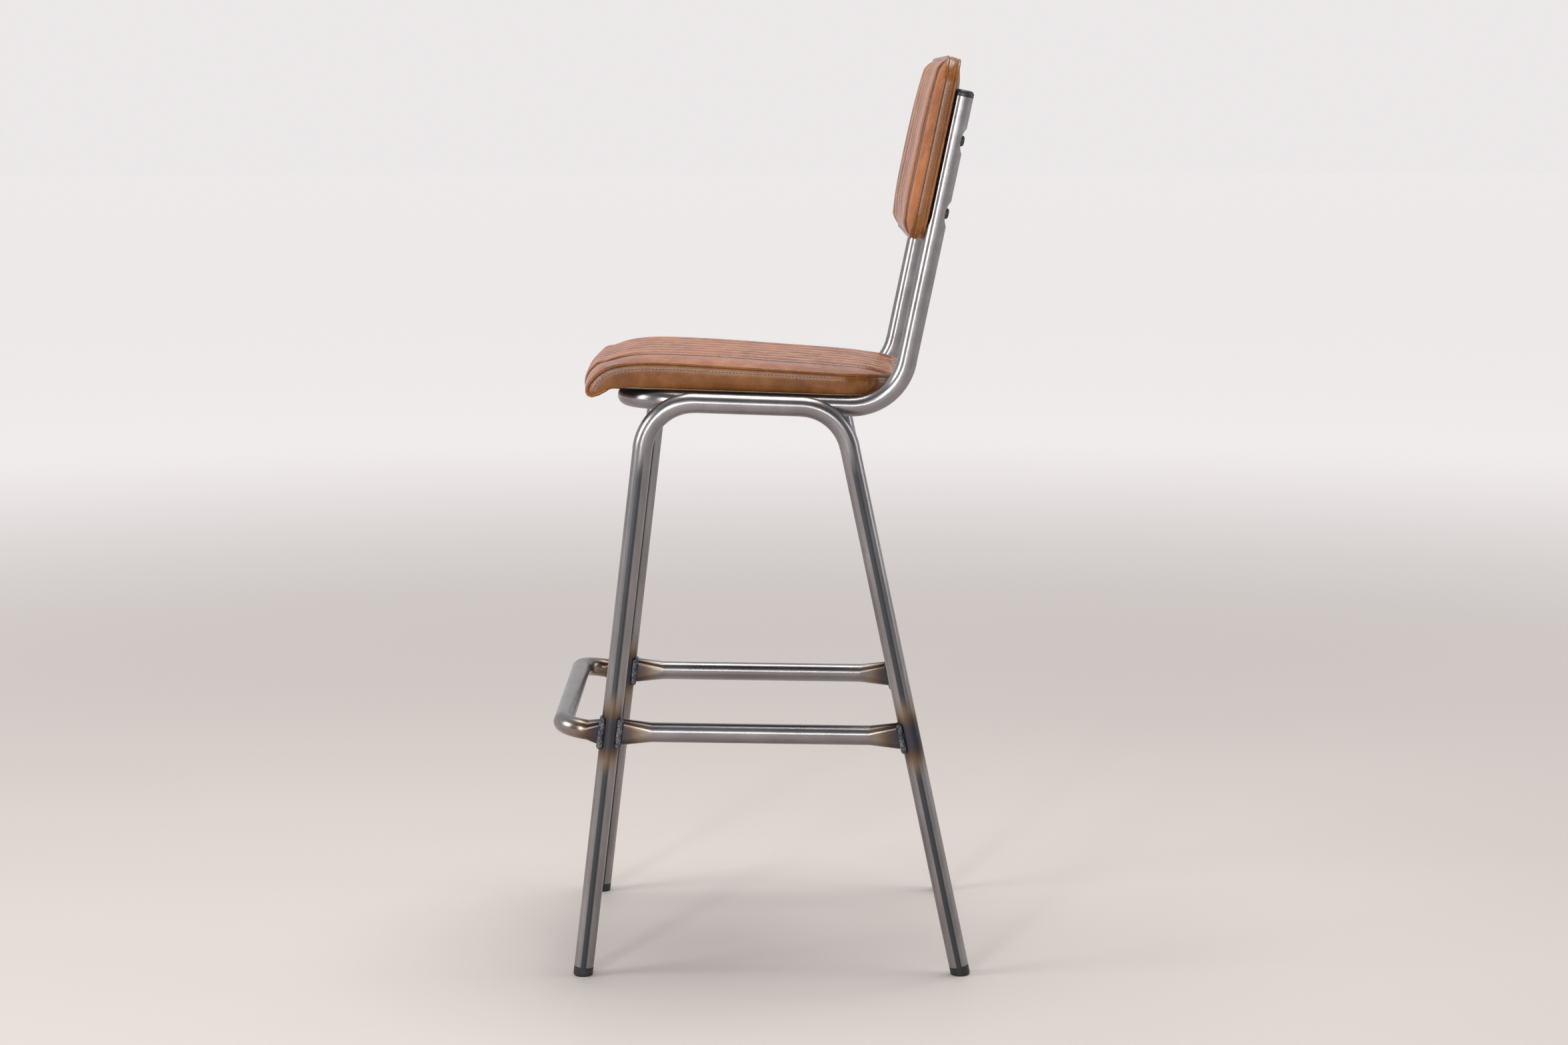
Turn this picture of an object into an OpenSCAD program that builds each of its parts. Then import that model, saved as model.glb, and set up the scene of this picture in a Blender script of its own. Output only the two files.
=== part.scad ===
// Bar stool with a padded seat, a padded back and a tubular steel frame with a footrest.
// The stool faces -Y, its width lies along X, and Z is up from the floor.
// Profile places (y) are measured from the middle of the seat rails, then the whole stool is
// moved along Y so that the origin lies under the middle of its box.

/* [Steel tube] */
// Outside diameter of every tube
tube_d = 25; // [22:0.5:32]
// Wall of every tube
tube_wall = 1.5; // [1:0.1:2.5]
// Centre-line radius of the leg frame bends
leg_bend_r = 65; // [50:1:90]
// Centre-line radius of the bends from seat rail to back post
post_bend_r = 70; // [50:1:90]
// Centre-line radius of the seat frame's front corners
corner_bend_r = 60; // [45:1:90]
// Centre-line radius of the footrest corners
footrest_bend_r = 32; // [28:1:45]

/* [Frame] */
// Height of the seat rails' centre-line at mid depth
rail_h = 732; // [600:1:880]
// Slope of the seat, down towards the back, in degrees
seat_tilt = 2; // [0:0.5:5]
// Distance between the two leg frames, centre to centre
leg_frame_w = 440; // [360:1:520]
// Front foot, in front of the mid depth, at the floor
front_foot = 249; // [220:1:290]
// Rear foot, behind the mid depth, at the floor
rear_foot = 235; // [200:1:280]
// Lean of the front legs, in degrees
front_lean = 6.8; // [3:0.1:10]
// Lean of the rear legs, in degrees
rear_lean = 11.9; // [7:0.1:15]
// Seat frame's front tube, in front of the mid depth along the rails
rail_front = 190; // [150:1:200]
// Foot of the back posts, behind the mid depth along the rails
rail_rear = 152; // [130:1:180]
// Lean of the back posts, in degrees
post_lean = 11.8; // [5:0.1:16]
// Length of a back post from its bend corner to its cut end
post_len = 397; // [300:1:480]

/* [Footrest and braces] */
// Height where the footrest meets the front legs
footrest_h = 315; // [240:1:380]
// Reach of the footrest in front of the leg centre-lines
footrest_reach = 62; // [56:1:110]
// Upward tilt of the footrest, in degrees
footrest_tilt = 9; // [0:0.5:15]
// Height where a side brace meets its front leg
brace_front_h = 317; // [240:1:380]
// Height where a side brace meets its rear leg
brace_rear_h = 311; // [240:1:380]
// Height of a brace's pressed end
brace_end_h = 35; // [28:0.5:42]
// Thickness of a pressed tube end
pressed_t = 14; // [10:0.5:20]
// Length over which a brace changes from round to pressed
press_len = 52; // [30:1:70]
// Height of the footrest's pressed ends
footrest_end_h = 37; // [28:0.5:42]
// Radius of a fillet weld bead
weld_r = 4.2; // [2:0.1:5]

/* [Seat pad] */
// Width of the seat pad, for leg frames 440 apart
seat_w = 400; // [320:1:440]
// Nose of the seat pad, in front of the mid depth
seat_front = 246; // [215:1:270]
// Rear edge of the seat pad, behind the mid depth
seat_rear = 159; // [130:1:165]
// Plan radius of the pad's rear corners
seat_rear_r = 90; // [70:1:120]
// Plan radius of the pad's front corners
seat_front_r = 16; // [8:1:24]
// Thickness of the seat and back boards
board_t = 10; // [8:0.5:15]
// Height of the leather side border
border_h = 32; // [26:0.5:45]
// Rise of the seat crown over its edge seam
seat_crown = 18; // [8:0.5:30]
// Side-view radius of the nose above the lip
nose_r = 70; // [50:1:90]
// Radius of the rolled front lip
lip_r = 14; // [12:0.5:18]
// Drop of the lip's underside below the border's lower edge
lip_drop = 10; // [4:0.5:14]
// Thickness of the leather
leather_t = 1.4; // [1:0.1:2.5]
// Thickness of the black dust cover under the board
dust_t = 1.5; // [1:0.1:3]
// Diameter of the welt piping
piping_d = 4; // [3:0.1:6]

/* [Back pad] */
// Width of the back pad, for leg frames 440 apart
back_w = 410; // [330:1:460]
// Height of the back pad along the posts
back_h = 229; // [160:1:260]
// Gap from the lower edge of the back pad to the post's bend corner
back_rise = 213; // [190:1:300]
// Corner radius of the back pad
back_corner_r = 34; // [20:1:60]
// Rise of the front crown over the border
back_crown = 29; // [12:0.5:40]
// Rise of the rear panel between the posts
rear_crown = 6; // [2:0.5:9]

/* [Fasteners and caps] */
// Shank diameter of the pad bolts
bolt_d = 8; // [6:0.5:10]
// Clearance on a bolt's diameter
bolt_clear = 0.6; // [0.2:0.1:1.2]
// Diameter of a button head
head_d = 14; // [11:0.5:17]
// Height of a button head
head_h = 5; // [3:0.5:7]
// Seat tabs, along the rails
tab_w = 30; // [24:1:40]
// Seat tab thickness
tab_t = 3; // [2:0.5:5]
// Seat bolts, in from the rails' middle line
bolt_inset = 25; // [22:0.5:40]
// Upper back bolt, down from the post's cut end
upper_bolt = 54; // [40:1:80]
// Distance between the two back bolts on one post
bolt_pitch = 92; // [60:1:120]
// Depth of the dents pressed into the posts
dent_depth = 5; // [2:0.5:7]
// Radius of the tool that presses a dent
dent_r = 30; // [20:1:45]
// Height of a post cap above the tube
cap_h = 8.5; // [4:0.5:14]
// Height of a foot glide outside the tube, along the leg
glide_h = 12; // [8:0.5:20]
// Depth that caps and glides reach into the tube
plug_len = 16; // [8:0.5:25]
// Clearance of a cap or glide inside the tube, on the radius
plug_clear = 0.1; // [0:0.05:0.4]

/* [Hidden] */
$fn = 96;

tube_r = tube_d / 2;
bore_r = tube_r - tube_wall;
hull_fn = 32;
slice = 0.02;
mesh_fn = 40;
bend_lap = 0.6;
bend_proud_share = 0.016;
bend_gap = 2;
leg_x = leg_frame_w / 2;
rail_x = leg_x - tube_d;
// The pads widen or narrow with the frame that carries them.
standard_frame_w = 440;
seat_span = seat_w + leg_frame_w - standard_frame_w;
back_span = back_w + leg_frame_w - standard_frame_w;
sides = [-1, 1];

// The seat rail line and the two leg lines in profile, as [y, z] corners.
tilt_t = tan(seat_tilt);
front_t = tan(front_lean);
rear_t = tan(rear_lean);
function front_y(z) = -front_foot + z * front_t;
function rear_y(z) = rear_foot - z * rear_t;
front_top_z = (rail_h + front_foot * tilt_t) / (1 + front_t * tilt_t);
rear_top_z = (rail_h - rear_foot * tilt_t) / (1 - rear_t * tilt_t);

// A leg stops where its glide, cut flat by the floor, begins.
front_end_z = glide_h * cos(front_lean);
rear_end_z = glide_h * cos(rear_lean);

post_foot = [0, rail_rear * cos(seat_tilt), rail_h - rail_rear * sin(seat_tilt)];
bolt_up = [for (k = [0, 1]) post_len - upper_bolt - k * bolt_pitch];

// How far each tube turns at its bends.
front_turn = 90 - front_lean + seat_tilt;
rear_turn = 90 - rear_lean - seat_tilt;
post_turn = 90 - post_lean + seat_tilt;

footrest_at = [0, front_y(footrest_h), footrest_h];
footrest_fwd = [0, -cos(footrest_tilt), sin(footrest_tilt)];
footrest_bar = footrest_at + footrest_fwd * footrest_reach;

brace_from = [0, front_y(brace_front_h), brace_front_h];
brace_to = [0, rear_y(brace_rear_h), brace_rear_h];
brace_len = norm(brace_to - brace_from);
brace_drop = asin((brace_front_h - brace_rear_h) / brace_len);

// The rounded rim of a cap or glide, whose outermost point sets the box of the stool.
cap_rim_r = min(cap_h * 0.6, tube_r * 0.4);
glide_sink = 1.5;
function glide_head(lean) = glide_h + tube_r * tan(lean) * 0.55 + glide_sink;
function rim_reach(lean, along) =
    along * sin(lean) + (tube_r - cap_rim_r) * cos(lean) + cap_rim_r;
cap_rear_y = post_foot[1] + rim_reach(post_lean, post_len + cap_h - cap_rim_r);
glide_rear_y = rear_y(rear_end_z) + rim_reach(rear_lean, glide_head(rear_lean) - cap_rim_r);
footrest_front_y = footrest_bar[1] - tube_r * (1 + bend_proud_share);
y_middle = (max(cap_rear_y, glide_rear_y) + footrest_front_y) / 2;

// Seat pad levels, above the rail centre-lines and square to the rails.
dust_w = tube_r;
board_w = dust_w + dust_t;
foam_w = board_w + board_t;
seam_w = board_w + border_h;
crown_w = seam_w + seat_crown;
lip_w = board_w - lip_drop + lip_r;
lip_v = -seat_front + lip_r;
// The nose arc leaves the seam line at nose_v and meets the lip after nose_turn degrees.
nose_drop = lip_w - (seam_w - nose_r);
nose_run = sqrt(pow(nose_r - lip_r, 2) - pow(nose_drop, 2));
nose_v = lip_v + nose_run;
nose_turn = atan2(nose_run, nose_drop);
board_front = lip_v + 6;
border_front = nose_v;
seat_bolt_x = rail_x - bolt_inset;
seat_bolt_v = [-rail_front + corner_bend_r + 30, rail_rear - post_bend_r - 30];

// Back pad levels, in front of the post centre-lines and square to the posts.
rear_cover_s = tube_r;
back_board_s = rear_cover_s + leather_t;
back_foam_s = back_board_s + board_t;
back_mid = back_rise + back_h / 2;

// ---- shapes used by several sub-parts ----

module centred() {
    translate([0, -y_middle, 0]) children();
}

// The seat's own frame: Y along the rails, Z square to them.
module on_rails() {
    centred() translate([0, 0, rail_h]) rotate([-seat_tilt, 0, 0]) children();
}

// The back's own frame: Y up the posts, Z forwards, origin on the line of the bend corners.
module on_posts() {
    centred() translate(post_foot) rotate([90 - post_lean, 0, 0]) children();
}

// The cross section of a bar, or of a tube where a bore is given.
module section(r, bore) {
    difference() {
        circle(r = r);
        if (bore > 0) circle(r = bore);
    }
}

// A round bar that starts along +Z and follows steps of [length, bend radius, turn, roll]: each
// step is a straight, then a bend towards the direction that roll gives about the bar.
// A bend laps over its straights, a little proud of them, so that the two always join.
module bar(steps, r, bore = 0, i = 0) {
    length = steps[i][0];
    bend = steps[i][1];
    angle = steps[i][2];
    lap_turn = bend > 0 ? atan(bend_lap / bend) : 0;
    proud = r * bend_proud_share;
    if (length > 0.01) linear_extrude(length) section(r, bore);
    if (angle > 0)
        translate([0, 0, length]) rotate([0, 0, steps[i][3]]) {
            translate([bend, 0, 0]) rotate([90, 0, 180]) rotate([0, 0, -lap_turn])
                rotate_extrude(angle = angle + 2 * lap_turn)
                    translate([bend, 0]) section(r + proud, bore > 0 ? bore - proud : 0);
            if (i < len(steps) - 1)
                translate([bend, 0, 0]) rotate([0, angle, 0]) translate([-bend, 0, 0])
                    bar(steps, r, bore, i + 1) children();
        }
    if (i == len(steps) - 1) translate([0, 0, length]) children();
}

function tangent(bend, angle) = bend * tan(angle / 2);

// A shape and its mirror image across the middle of the stool.
module both_halves() {
    children();
    mirror([1, 0, 0]) children();
}

// An oval across Z, h tall along Y and t thick along X.
module oval(h, t) {
    if (h > t) square([t, h - t], center = true);
    for (s = sides) translate([0, s * max(h - t, 0) / 2]) circle(d = t);
}

// A tube end along +Z that changes from round to a pressed oval, then stays pressed.
module pressed_end(length, h, wall) {
    press_share = 0.86;
    shares = [0, 0.35, 0.7, press_share];
    ease = [0, 0.4, 0.85, 1];
    hull()
        for (k = [0:len(shares) - 1])
            translate([0, 0, length * shares[k]])
                linear_extrude(slice)
                    oval(
                        tube_d + (h - tube_d) * ease[k] - 2 * wall,
                        tube_d + (pressed_t - tube_d) * ease[k] - 2 * wall,
                        $fn = hull_fn
                    );
    translate([0, 0, length * press_share])
        linear_extrude(length * (1 - press_share) + slice)
            oval(h - 2 * wall, pressed_t - 2 * wall);
}

// The flat part of a pressed end as an exact shape, for weld beads to lie against.
module pressed_stub(length, h) {
    linear_extrude(length) oval(h, pressed_t);
}

// A rectangle whose front corners and rear corners have radii of their own.
module plan(w, front, rear, front_r, rear_r) {
    union() {
        translate([-w / 2, front + front_r]) square([w, rear - rear_r - front - front_r]);
        translate([-w / 2 + front_r, front]) square([w - 2 * front_r, front_r * 2]);
        translate([-w / 2 + rear_r, rear - rear_r * 2]) square([w - 2 * rear_r, rear_r * 2]);
        for (s = sides) {
            translate([s * (w / 2 - front_r), front + front_r]) circle(r = front_r);
            translate([s * (w / 2 - rear_r), rear - rear_r]) circle(r = rear_r);
        }
    }
}

// The outline of the seat, inset by a distance and cut off at a front line.
module seat_plan(inset, front) {
    plan(seat_span - 2 * inset, front, seat_rear - inset, seat_front_r, seat_rear_r - inset);
}

module back_plan(inset) {
    w = back_span - 2 * inset;
    h = back_h - 2 * inset;
    translate([0, back_mid]) plan(w, -h / 2, h / 2, back_corner_r - inset, back_corner_r - inset);
}

// ---- steel frame ----

leg_steps = [
    [
        (front_top_z - front_end_z) / cos(front_lean) - tangent(leg_bend_r, front_turn),
        leg_bend_r, front_turn, 90
    ],
    [
        (rear_y(rear_top_z) - front_y(front_top_z)) / cos(seat_tilt)
            - tangent(leg_bend_r, front_turn) - tangent(leg_bend_r, rear_turn),
        leg_bend_r, rear_turn, 0
    ],
    [(rear_top_z - rear_end_z) / cos(rear_lean) - tangent(leg_bend_r, rear_turn), 0, 0, 0]
];

module leg_frame(side) {
    centred()
        translate([side * leg_x, front_y(front_end_z), front_end_z]) rotate([-front_lean, 0, 0])
            bar(leg_steps, tube_r, bore_r);
}

module left_leg_frame() {
    color("silver") leg_frame(-1);
}

module right_leg_frame() {
    color("silver") leg_frame(1);
}

// From the middle of the front tube: corner, rail, bend and post.
frame_steps = [
    [rail_x - corner_bend_r, corner_bend_r, 90, 0],
    [
        rail_front + rail_rear - corner_bend_r - tangent(post_bend_r, post_turn),
        post_bend_r, post_turn, 90
    ],
    [post_len - tangent(post_bend_r, post_turn), 0, 0, 0]
];

module frame_bar(r) {
    on_rails()
        both_halves()
            translate([0, -rail_front, 0]) rotate([90, 0, 90]) bar(frame_steps, r);
}

// The dents behind the posts: the tool lies across the tube, extra makes it larger by the wall.
module dent_tools(extra) {
    on_posts()
        for (s = sides, up = bolt_up)
            translate([s * rail_x, up, -tube_r + dent_depth - dent_r])
                rotate([0, 90, 0]) cylinder(r = dent_r + extra, h = tube_d * 1.2, center = true);
}

module back_bolt_holes() {
    on_posts()
        for (s = sides, up = bolt_up)
            translate([s * rail_x, up, 0]) cylinder(d = bolt_d + bolt_clear, h = tube_d * 2, center = true);
}

module seat_tabs() {
    color("silver") on_rails()
        difference() {
            for (s = sides, v = seat_bolt_v)
                translate([s * (seat_bolt_x + rail_x - head_d) / 2, v, tube_r - tab_t / 2])
                    cube([rail_x - seat_bolt_x + head_d, tab_w, tab_t], center = true);
            for (s = sides)
                translate([s * rail_x, 0, 0]) rotate([90, 0, 0])
                    cylinder(r = tube_r, h = 2 * (rail_front + tab_w), center = true);
            for (s = sides, v = seat_bolt_v)
                translate([s * seat_bolt_x, v, 0]) cylinder(d = bolt_d + bolt_clear, h = tube_d);
        }
}

module seat_back_frame() {
    color("silver")
        difference() {
            frame_bar(tube_r);
            dent_tools(0);
            difference() {
                frame_bar(bore_r);
                dent_tools(tube_wall);
            }
            back_bolt_holes();
        }
}

footrest_steps = [
    [leg_x - footrest_bend_r, footrest_bend_r, 90, 0],
    [0, 0, 0, 0]
];

// The footrest in its own plane, from the middle of its bar round to both legs.
module footrest_shape(wall) {
    translate(footrest_bar) rotate([-footrest_tilt, 0, 0])
        both_halves()
            rotate([90, 0, 90])
                bar(footrest_steps, tube_r - wall)
                    pressed_end(footrest_reach - footrest_bend_r, footrest_end_h, wall);
}

module leg_cut(at, lean) {
    for (s = sides)
        translate([s * leg_x, 0, 0]) translate(at) rotate([-lean, 0, 0])
            cylinder(r = tube_r, h = footrest_end_h * 3, center = true);
}

module front_leg_cut() {
    leg_cut(footrest_at, front_lean);
}

module rear_leg_cut() {
    leg_cut(brace_to, -rear_lean);
}

module footrest() {
    color("silver") centred()
        difference() {
            footrest_shape(0, $fn = mesh_fn);
            footrest_shape(tube_wall, $fn = mesh_fn / 2);
            front_leg_cut();
        }
}

module brace_bar(wall) {
    half = brace_len / 2 - press_len;
    for (way = [0, 180])
        rotate([way, 0, 0]) {
            cylinder(r = tube_r - wall, h = half, $fn = hull_fn);
            translate([0, 0, half]) pressed_end(press_len, brace_end_h, wall);
        }
}

module brace(side) {
    difference() {
        translate((brace_from + brace_to) / 2 + [side * leg_x, 0, 0])
            rotate([-90 - brace_drop, 0, 0])
                difference() {
                    brace_bar(0);
                    brace_bar(tube_wall);
                }
        front_leg_cut();
        rear_leg_cut();
    }
}

module left_brace() {
    color("silver") centred() brace(-1);
}

module right_brace() {
    color("silver") centred() brace(1);
}

// ---- welds: beads that lie in the corner between a pressed end and a leg ----

// A bead of round section with domed ends, along Z.
module bead(length, r) {
    cylinder(r = r, h = length - 2 * r, center = true);
    for (s = sides) translate([0, 0, s * (length / 2 - r)]) sphere(r = r);
}

// The two beads beside one pressed end: way is +1 behind the leg and -1 in front of it.
module leg_beads(at, lean, way, end_h) {
    for (side = sides)
        translate([side * leg_x, 0, 0]) translate(at) rotate([-lean, 0, 0])
            for (s = sides)
                translate([s * (pressed_t / 2 + weld_r * 0.35), way * tube_r * 0.92, 0])
                    bead(end_h + weld_r, weld_r);
}

// The pressed ends' flat parts, where they run into the legs.
module end_stubs(at, slope, end_h) {
    for (side = sides)
        translate([side * leg_x, 0, 0]) translate(at) rotate([90 - slope, 0, 0])
            translate([0, 0, -tube_d * 2]) pressed_stub(tube_d * 4, end_h);
}

module footrest_welds() {
    color("slategray") centred()
        difference() {
            leg_beads(footrest_at, front_lean, -1, footrest_end_h);
            front_leg_cut();
            end_stubs(footrest_at, footrest_tilt, footrest_end_h);
        }
}

module brace_welds() {
    color("slategray") centred()
        difference() {
            union() {
                leg_beads(brace_from, front_lean, 1, brace_end_h);
                leg_beads(brace_to, -rear_lean, -1, brace_end_h);
            }
            front_leg_cut();
            rear_leg_cut();
            end_stubs(brace_from, brace_drop, brace_end_h);
        }
}

weld_len = 34;
seat_weld_v = [-95, 10];

// Beads along the line where a leg frame's top bar touches the seat rail, above and below.
module seat_frame_welds() {
    color("slategray") on_rails()
        difference() {
            for (side = sides, v = seat_weld_v, s = sides)
                translate([side * (leg_x - tube_r), v, s * tube_r * 0.42])
                    rotate([90, 0, 0]) bead(weld_len, weld_r);
            for (side = sides, x = [rail_x, leg_x])
                translate([side * x, 0, 0]) rotate([90, 0, 0])
                    cylinder(r = tube_r, h = 2 * (rail_front + weld_len), center = true);
        }
}

// ---- glides and caps ----

// A plug with a rounded head: the head hangs below Z = 0 and the stem rises into the tube.
module domed_plug(head) {
    rotate_extrude() {
        translate([0, -head + cap_rim_r]) square([tube_r, head - cap_rim_r]);
        translate([0, -head]) square([tube_r - cap_rim_r, head]);
        translate([tube_r - cap_rim_r, -head + cap_rim_r]) circle(r = cap_rim_r);
        square([bore_r - plug_clear, plug_len]);
    }
}

// The glide stands on the floor: what would reach below the floor is cut away flat.
module glide(x, y_end, z_end, lean) {
    centred()
        difference() {
            translate([x, y_end, z_end]) rotate([-lean, 0, 0]) domed_plug(glide_head(abs(lean)));
            translate([x, y_end, -tube_d])
                cube([tube_d * 3, tube_d * 3, tube_d * 2], center = true);
        }
}

module front_left_glide() {
    color("dimgray") glide(-leg_x, front_y(front_end_z), front_end_z, front_lean);
}

module front_right_glide() {
    color("dimgray") glide(leg_x, front_y(front_end_z), front_end_z, front_lean);
}

module rear_left_glide() {
    color("dimgray") glide(-leg_x, rear_y(rear_end_z), rear_end_z, -rear_lean);
}

module rear_right_glide() {
    color("dimgray") glide(leg_x, rear_y(rear_end_z), rear_end_z, -rear_lean);
}

module post_cap(side) {
    on_posts() translate([side * rail_x, post_len, 0]) rotate([90, 0, 0]) domed_plug(cap_h);
}

module left_post_cap() {
    color("dimgray") post_cap(-1);
}

module right_post_cap() {
    color("dimgray") post_cap(1);
}

// ---- seat pad ----

module slab(level, t) {
    translate([0, 0, level]) linear_extrude(t) children();
}

module seat_nut_holes(d) {
    for (s = sides, v = seat_bolt_v)
        translate([s * seat_bolt_x, v, dust_w - 1]) cylinder(d = d, h = board_t + dust_t + 2);
}

nut_barrel_d = bolt_d + 2.4;
nut_flange_d = bolt_d + 12;
nut_flange_t = 1.5;

module seat_dust_cover() {
    color("black") on_rails()
        difference() {
            slab(dust_w, dust_t) seat_plan(3, board_front + 3);
            seat_nut_holes(bolt_d + bolt_clear);
        }
}

module seat_board() {
    color("burlywood") on_rails()
        difference() {
            slab(board_w, board_t) seat_plan(leather_t, board_front);
            seat_nut_holes(nut_barrel_d);
        }
}

// The padded body of the seat above its board, with the lip rolled over the board's front edge.
module seat_body(grow) {
    side_in = leather_t - grow;
    hull() {
        translate([0, lip_v, lip_w]) rotate([0, 90, 0])
            cylinder(
                r = lip_r - side_in, h = seat_span - 2 * side_in, center = true, $fn = hull_fn
            );
        intersection() {
            translate([0, nose_v, seam_w - nose_r]) rotate([0, 90, 0])
                cylinder(r = nose_r - side_in, h = seat_span - 2 * side_in, center = true, $fn = 64);
            translate([-seat_span, -seat_front - 1, lip_w]) cube([seat_span * 2, nose_run + lip_r, nose_r]);
        }
        slab(foam_w, seam_w - foam_w - side_in) seat_plan(side_in, nose_v, $fn = hull_fn);
        slab(seam_w + seat_crown * 0.5, grow + 0.5)
            seat_plan(24, -seat_front + 46, $fn = hull_fn);
        slab(crown_w - leather_t, grow) seat_plan(82, -seat_front + 78, $fn = hull_fn);
        slab(crown_w - leather_t - 1, 1) seat_plan(84, -seat_front + 80, $fn = hull_fn);
    }
}

// The room below the foam that the board, the rails and the dust cover take.
module under_board() {
    bottom = lip_w - lip_r * 3;
    translate([-seat_span, board_front, bottom])
        cube([seat_span * 2, seat_front * 3, foam_w - bottom]);
}

module seat_foam() {
    color("khaki") on_rails()
        difference() {
            seat_body(0);
            under_board();
            seat_nut_holes(nut_flange_d);
            slab(foam_w - 1, nut_flange_t + 1.2)
                for (s = sides, v = seat_bolt_v)
                    translate([s * seat_bolt_x, v]) circle(d = nut_flange_d + 1);
        }
}

module seat_top_cover() {
    color("sienna") on_rails()
        difference() {
            seat_body(leather_t);
            seat_body(0);
            translate([-seat_span, border_front, -seat_span + seam_w])
                cube([seat_span * 2, seat_front * 3, seat_span]);
        }
}

module seat_border() {
    color("peru") on_rails()
        difference() {
            slab(board_w + 1, border_h - 1) seat_plan(0, border_front - seat_front_r);
            slab(board_w, border_h + 1) seat_plan(leather_t, border_front - seat_front_r * 2);
            translate([0, border_front - seat_span, 0])
                cube([seat_span * 2, seat_span * 2, seat_span], center = true);
        }
}

// From the middle of the rear edge: corner, side, nose and lip.
piping_steps = [
    [seat_span / 2 - seat_rear_r, seat_rear_r, 90, 0],
    [seat_rear - seat_rear_r - nose_v, nose_r, nose_turn, -90],
    [bend_gap, lip_r, 170 - nose_turn, 0],
    [0, 0, 0, 0]
];

module seat_piping() {
    color("sienna") on_rails()
        both_halves()
            translate([0, seat_rear, seam_w]) rotate([-90, 0, 90]) rotate([0, 0, 180])
                bar(piping_steps, piping_d / 2);
}

module button_bolt(shank) {
    round_r = min(head_h, head_d / 2) * 0.7;
    rotate_extrude() {
        translate([0, -head_h + round_r]) square([head_d / 2, head_h - round_r]);
        translate([0, -head_h]) square([head_d / 2 - round_r, head_h]);
        translate([head_d / 2 - round_r, -head_h + round_r]) circle(r = round_r);
        square([bolt_d / 2, shank]);
    }
}

module hex_socket() {
    translate([0, 0, -head_h - 1]) cylinder(d = head_d * 0.36 / cos(30), h = head_h * 0.55 + 1, $fn = 6);
}

module seat_bolts() {
    color("black") on_rails()
        for (s = sides, v = seat_bolt_v)
            translate([s * seat_bolt_x, v, dust_w - tab_t])
                difference() {
                    button_bolt(tab_t + dust_t + board_t);
                    hex_socket();
                }
}

// A T-nut whose flange lies on the board's far face and whose barrel fills its hole.
module t_nut(barrel) {
    difference() {
        union() {
            translate([0, 0, -barrel]) cylinder(d = nut_barrel_d, h = barrel);
            cylinder(d = nut_flange_d, h = nut_flange_t);
        }
        translate([0, 0, -barrel - 1]) cylinder(d = bolt_d, h = barrel + nut_flange_t + 2);
    }
}

module seat_t_nuts() {
    color("lightgray") on_rails()
        for (s = sides, v = seat_bolt_v)
            translate([s * seat_bolt_x, v, foam_w]) t_nut(board_t);
}

// ---- back pad ----

module back_hole_pattern() {
    for (s = sides, up = bolt_up) translate([s * rail_x, up, 0]) children();
}

module back_rear_cover() {
    inner_w = 2 * (rail_x - tube_r) - 12;
    color("sienna") on_posts()
        difference() {
            union() {
                slab(rear_cover_s, leather_t) back_plan(leather_t);
                hull() {
                    slab(rear_cover_s - 0.5, 1) rear_panel(inner_w, back_h - 16, 20);
                    slab(rear_cover_s - rear_crown, 1) rear_panel(inner_w - 90, back_h - 90, 20);
                }
            }
            back_hole_pattern() cylinder(d = bolt_d + bolt_clear, h = tube_d * 2, center = true);
        }
}

module rear_panel(w, h, r) {
    translate([0, back_mid]) plan(w, -h / 2, h / 2, r, r, $fn = hull_fn);
}

module back_board() {
    color("burlywood") on_posts()
        difference() {
            slab(back_board_s, board_t) back_plan(leather_t);
            back_hole_pattern() cylinder(d = nut_barrel_d, h = tube_d * 3);
        }
}

// The crown of the back stands deepest low down and falls away towards the top.
module back_body(grow) {
    hull() {
        slab(back_foam_s, 0.5) back_plan(leather_t - grow, $fn = hull_fn);
        slab(back_foam_s + back_crown * 0.6, grow + 0.5)
            translate([0, -back_h * 0.03, 0]) rear_panel(back_span - 44, back_h * 0.87, 26);
        slab(back_foam_s + back_crown - 1, grow + 0.5)
            translate([0, -back_h * 0.11, 0]) rear_panel(back_span - 170, back_h * 0.52, 26);
    }
}

module back_foam() {
    color("khaki") on_posts()
        difference() {
            back_body(0);
            back_hole_pattern() cylinder(d = nut_flange_d + 1, h = back_foam_s + nut_flange_t + 0.4);
        }
}

module back_front_cover() {
    color("sienna") on_posts()
        difference() {
            back_body(leather_t);
            back_body(0);
            slab(back_foam_s - 2, 2) back_plan(-leather_t);
        }
}

module back_border() {
    color("peru") on_posts()
        difference() {
            slab(rear_cover_s, leather_t + board_t) back_plan(0);
            slab(rear_cover_s - 1, leather_t + board_t + 2) back_plan(leather_t);
        }
}

// A closed welt round the back pad at the given level: two halves that meet top and bottom.
module back_piping(level) {
    r = back_corner_r;
    steps = [
        [back_span / 2 - r, r, 90, 0],
        [back_h - 2 * r, r, 90, 0],
        [back_span / 2 - r, 0, 0, 0]
    ];
    both_halves()
        translate([0, back_mid + back_h / 2, level]) rotate([-90, 0, 90]) rotate([0, 0, 180])
            bar(steps, piping_d / 2);
}

module back_front_piping() {
    color("sienna") on_posts() back_piping(back_foam_s);
}

module back_rear_piping() {
    color("sienna") on_posts() back_piping(rear_cover_s + piping_d / 2);
}

module back_bolts() {
    color("black") on_posts()
        back_hole_pattern()
            translate([0, 0, -tube_r + dent_depth])
                difference() {
                    button_bolt(tube_d - dent_depth + leather_t + board_t);
                    hex_socket();
                }
}

module back_t_nuts() {
    color("lightgray") on_posts()
        back_hole_pattern() translate([0, 0, back_foam_s]) t_nut(board_t);
}

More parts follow.
